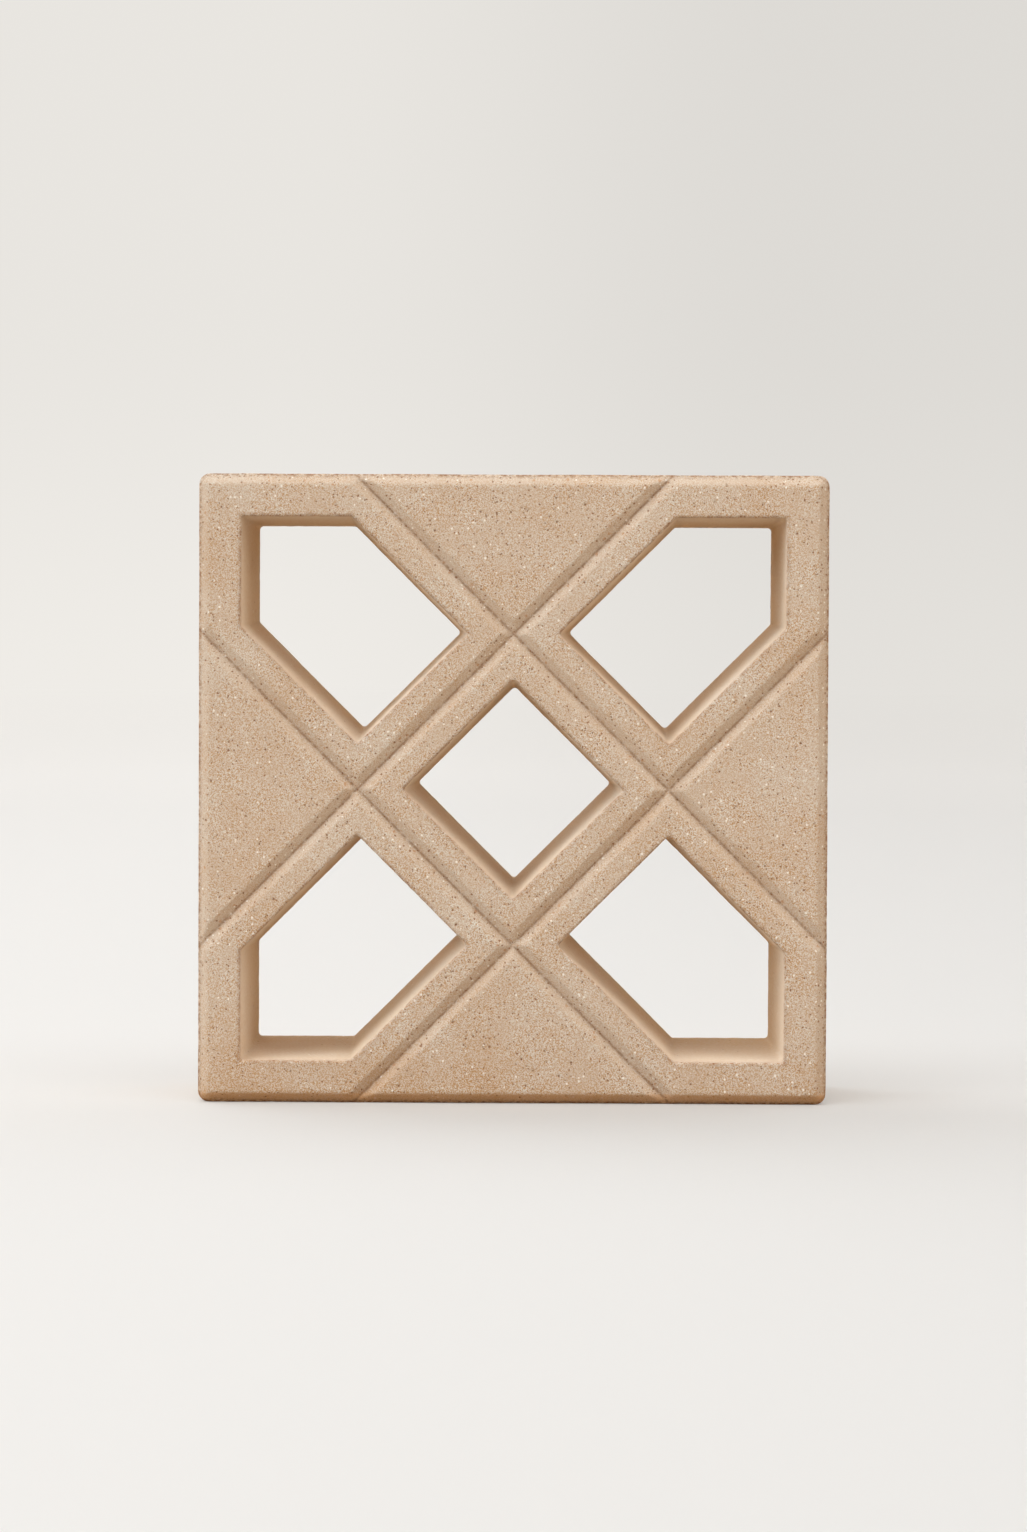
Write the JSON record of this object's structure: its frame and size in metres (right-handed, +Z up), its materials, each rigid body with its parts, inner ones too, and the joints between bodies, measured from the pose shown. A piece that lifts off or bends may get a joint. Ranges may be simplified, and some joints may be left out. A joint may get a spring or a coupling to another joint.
{
  "type": "screen block",
  "caption": "Square cast concrete screen block with a diagonal lattice, a diamond opening in the middle, corner openings, a bevelled face and vee grooves along the struts.",
  "frame": {"origin": "middle of the lower bed face, on which the block stands", "axes": "+Z up, +Y from the decorative face to the plain back, +X to the right of a viewer facing the decorative face"},
  "size_m": [0.29, 0.09, 0.29],
  "materials": {
    "concrete": "matt cast concrete, fine sandy face with small pores"
  },
  "bodies": {
    "root": {"screen_block": "concrete"}
  },
  "joints": []
}
